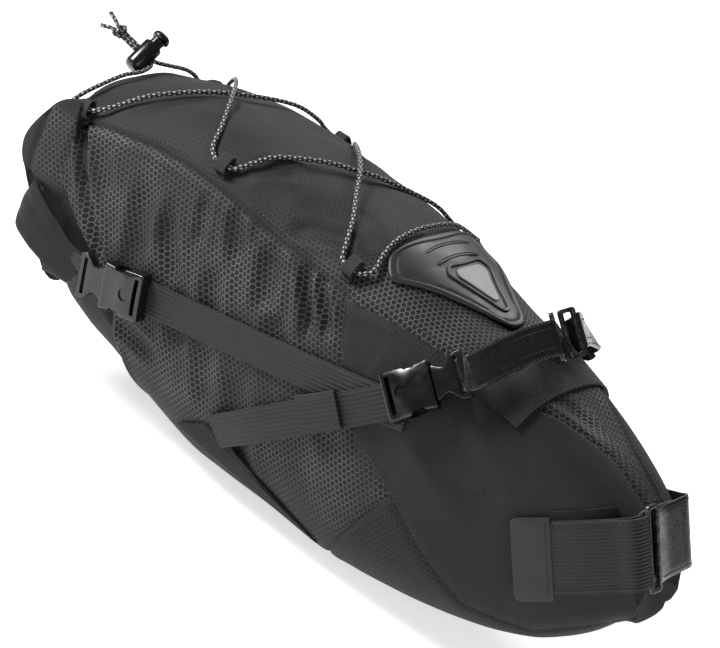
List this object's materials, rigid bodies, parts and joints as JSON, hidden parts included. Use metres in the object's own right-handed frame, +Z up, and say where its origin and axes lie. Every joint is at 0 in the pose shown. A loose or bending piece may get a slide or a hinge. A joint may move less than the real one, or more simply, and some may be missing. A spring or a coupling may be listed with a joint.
{
  "type": "bicycle saddle bag",
  "caption": "Tapered roll-top bicycle saddle bag with side-release buckles, rail straps, seatpost strap and top bungee.",
  "frame": {"origin": "under the middle of the whole object, on the surface the belly rests on", "axes": "+X towards the nose at the seatpost, +Z up, +Y to the bag's left"},
  "size_m": [0.565, 0.2078, 0.2395],
  "materials": {
    "honeycomb": "matt with glossy hexagon lines",
    "lining": "matt coated fabric",
    "canvas": "coarse matt weave",
    "stiffener": "matt sheet",
    "rubber_patch": "satin",
    "emblem": "satin",
    "webbing": "ribbed weave",
    "leather_look": "glossy grained",
    "ring_metal": "dark satin plating",
    "bungee": "braided with pale dots",
    "buckle_plastic": "glossy"
  },
  "bodies": {
    "bag": {"bag_shell": "honeycomb", "base_stiffener": "stiffener", "belly_wing_left": "canvas", "belly_wing_right": "canvas", "bungee_cord": "bungee", "bungee_loop_front_left": "webbing", "bungee_loop_front_right": "webbing", "bungee_loop_middle_left": "webbing", "bungee_loop_middle_right": "webbing", "bungee_loop_rear_left": "webbing", "bungee_loop_rear_right": "webbing", "cord_knot": "bungee", "front_buckle_left_female": "buckle_plastic", "front_buckle_right_female": "buckle_plastic", "nose_pad": "rubber_patch", "patch_emblem": "emblem", "pull_tab_left": "webbing", "pull_tab_right": "webbing", "rail_ring_left": "ring_metal", "rail_ring_right": "ring_metal", "ring_tab_left": "webbing", "ring_tab_right": "webbing", "saddle_band": "webbing", "seatpost_ring": "ring_metal", "seatpost_ring_tab": "leather_look", "seatpost_strap_base": "webbing", "side_webbing_lower_left": "webbing", "side_webbing_lower_right": "webbing", "side_webbing_upper_left": "webbing", "side_webbing_upper_right": "webbing", "tail_buckle_left_female": "buckle_plastic", "tail_buckle_right_female": "buckle_plastic", "top_patch": "rubber_patch"},
    "roll_top_end": {"roll_top": "canvas", "roll_stiffener": "stiffener", "throat_sleeve": "lining", "roll_end_webbing_right": "webbing", "roll_end_webbing_left": "webbing", "tail_buckle_right_male": "buckle_plastic", "tail_buckle_left_male": "buckle_plastic"},
    "seatpost_strap_free_end": {"seatpost_strap_end": "webbing", "label_tab": "rubber_patch"},
    "cord_lock": {"cord_lock_barrel": "buckle_plastic", "cord_lock_spring": "ring_metal"},
    "cord_lock_button": {"cord_lock_plunger": "buckle_plastic"},
    "front_male_right": {"front_buckle_right_male": "buckle_plastic", "rail_strap_right": "leather_look"},
    "tail_prong_right_1": {"tail_buckle_right_prong_1": "buckle_plastic"},
    "tail_prong_right_2": {"tail_buckle_right_prong_2": "buckle_plastic"},
    "front_prong_right_1": {"front_buckle_right_prong_1": "buckle_plastic"},
    "front_prong_right_2": {"front_buckle_right_prong_2": "buckle_plastic"},
    "front_male_left": {"front_buckle_left_male": "buckle_plastic", "rail_strap_left": "leather_look"},
    "tail_prong_left_1": {"tail_buckle_left_prong_1": "buckle_plastic"},
    "tail_prong_left_2": {"tail_buckle_left_prong_2": "buckle_plastic"},
    "front_prong_left_1": {"front_buckle_left_prong_1": "buckle_plastic"},
    "front_prong_left_2": {"front_buckle_left_prong_2": "buckle_plastic"}
  },
  "joints": [
    {"name": "roll_slide", "type": "slide", "parent": "bag", "child": "roll_top_end", "axis": [-0.9703, 0, -0.2419], "range_m": [0, 0.045]},
    {"name": "front_buckle_slide_right", "type": "slide", "parent": "bag", "child": "front_male_right", "axis": [0.6146, 0.3325, 0.7153], "range_m": [0, 0.026], "deforming": ["rail_strap_right"]},
    {"name": "front_buckle_slide_left", "type": "slide", "parent": "bag", "child": "front_male_left", "axis": [0.6146, -0.3325, 0.7153], "range_m": [0, 0.026], "deforming": ["rail_strap_left"]},
    {"name": "tail_prong_flex_right_1", "type": "hinge", "parent": "roll_top_end", "child": "tail_prong_right_1", "pos_m": [-0.14599, -0.0979, 0.08688], "axis": [0, -1, 0], "range_deg": [0, 16]},
    {"name": "tail_prong_flex_right_2", "type": "hinge", "parent": "roll_top_end", "child": "tail_prong_right_2", "pos_m": [-0.15097, -0.0979, 0.10687], "axis": [0, -1, 0], "range_deg": [-16, 0]},
    {"name": "front_prong_flex_right_1", "type": "hinge", "parent": "front_male_right", "child": "front_prong_right_1", "pos_m": [0.09509, -0.08172, 0.18341], "axis": [0.0182, -0.9126, 0.4085], "range_deg": [0, 9.2]},
    {"name": "front_prong_flex_right_2", "type": "hinge", "parent": "front_male_right", "child": "front_prong_right_2", "pos_m": [0.11134, -0.08662, 0.17174], "axis": [0.0182, -0.9126, 0.4085], "range_deg": [-9.2, 0]},
    {"name": "tail_prong_flex_left_1", "type": "hinge", "parent": "roll_top_end", "child": "tail_prong_left_1", "pos_m": [-0.15097, 0.0979, 0.10687], "axis": [0, 1, 0], "range_deg": [0, 16]},
    {"name": "tail_prong_flex_left_2", "type": "hinge", "parent": "roll_top_end", "child": "tail_prong_left_2", "pos_m": [-0.14599, 0.0979, 0.08688], "axis": [0, 1, 0], "range_deg": [-16, 0]},
    {"name": "front_prong_flex_left_1", "type": "hinge", "parent": "front_male_left", "child": "front_prong_left_1", "pos_m": [0.11134, 0.08662, 0.17174], "axis": [0.0182, 0.9126, 0.4085], "range_deg": [0, 9.2]},
    {"name": "front_prong_flex_left_2", "type": "hinge", "parent": "front_male_left", "child": "front_prong_left_2", "pos_m": [0.09509, 0.08172, 0.18341], "axis": [0.0182, 0.9126, 0.4085], "range_deg": [-9.2, 0]},
    {"name": "cord_lock_slide", "type": "slide", "parent": "bag", "child": "cord_lock", "axis": [-0.899, -0.3097, 0.3097], "range_m": [0, 0.008]},
    {"name": "cord_lock_press", "type": "slide", "parent": "cord_lock", "child": "cord_lock_button", "axis": [0, -0.7071, -0.7071], "range_m": [0, 0.005], "stiffness_N_per_m": 900, "springref_m": -0.002, "deforming": ["cord_lock_spring"]},
    {"name": "seatpost_strap_swing", "type": "hinge", "parent": "bag", "child": "seatpost_strap_free_end", "pos_m": [0.26557, -0.024, 0.14184], "axis": [-0.5299, 0, 0.848], "range_deg": [0, 75]}
  ],
  "couplings": [
    {"joint": "tail_prong_flex_right_1", "follows": "roll_slide", "rad_per_m": 6.04},
    {"joint": "tail_prong_flex_right_2", "follows": "roll_slide", "rad_per_m": -6.04},
    {"joint": "front_prong_flex_right_1", "follows": "front_buckle_slide_right", "rad_per_m": 6.04},
    {"joint": "front_prong_flex_right_2", "follows": "front_buckle_slide_right", "rad_per_m": -6.04},
    {"joint": "tail_prong_flex_left_1", "follows": "roll_slide", "rad_per_m": 6.04},
    {"joint": "tail_prong_flex_left_2", "follows": "roll_slide", "rad_per_m": -6.04},
    {"joint": "front_prong_flex_left_1", "follows": "front_buckle_slide_left", "rad_per_m": 6.04},
    {"joint": "front_prong_flex_left_2", "follows": "front_buckle_slide_left", "rad_per_m": -6.04}
  ]
}
